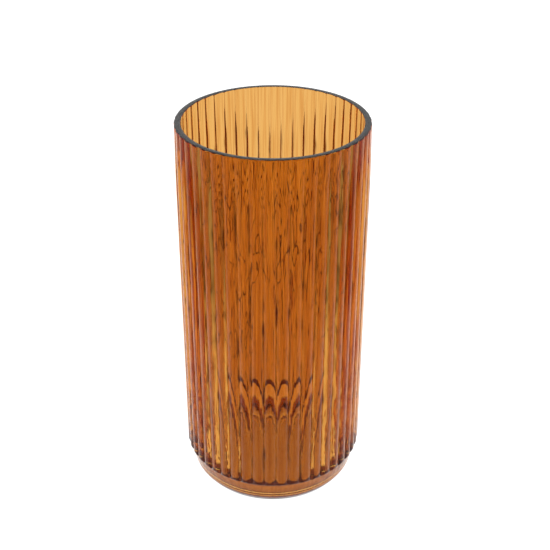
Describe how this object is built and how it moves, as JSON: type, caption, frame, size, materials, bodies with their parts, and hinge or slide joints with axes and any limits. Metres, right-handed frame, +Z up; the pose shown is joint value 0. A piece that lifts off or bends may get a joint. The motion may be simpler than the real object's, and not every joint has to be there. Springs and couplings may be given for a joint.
{
  "type": "glass vase",
  "caption": "Tall cylindrical vase of amber blown glass with 46 upright ribs outside, a smooth bore, a flat ground lip and a smooth turned-in foot.",
  "frame": {"origin": "on the vase's axis, in the plane of the flat ring that it stands on", "axes": "+Z up along the axis to the mouth; +X to the right and +Y away as seen from the front, though the ribs repeat all round"},
  "size_m": [0.118, 0.118, 0.25],
  "materials": {
    "amber_glass": "clear fire-polished glass, gloss, amber colour on both faces, deeper in the grooves and on the foot"
  },
  "bodies": {
    "root": {"ground_lip": "amber_glass", "ribbed_wall": "amber_glass", "turned_foot": "amber_glass", "base_floor": "amber_glass"}
  },
  "joints": []
}
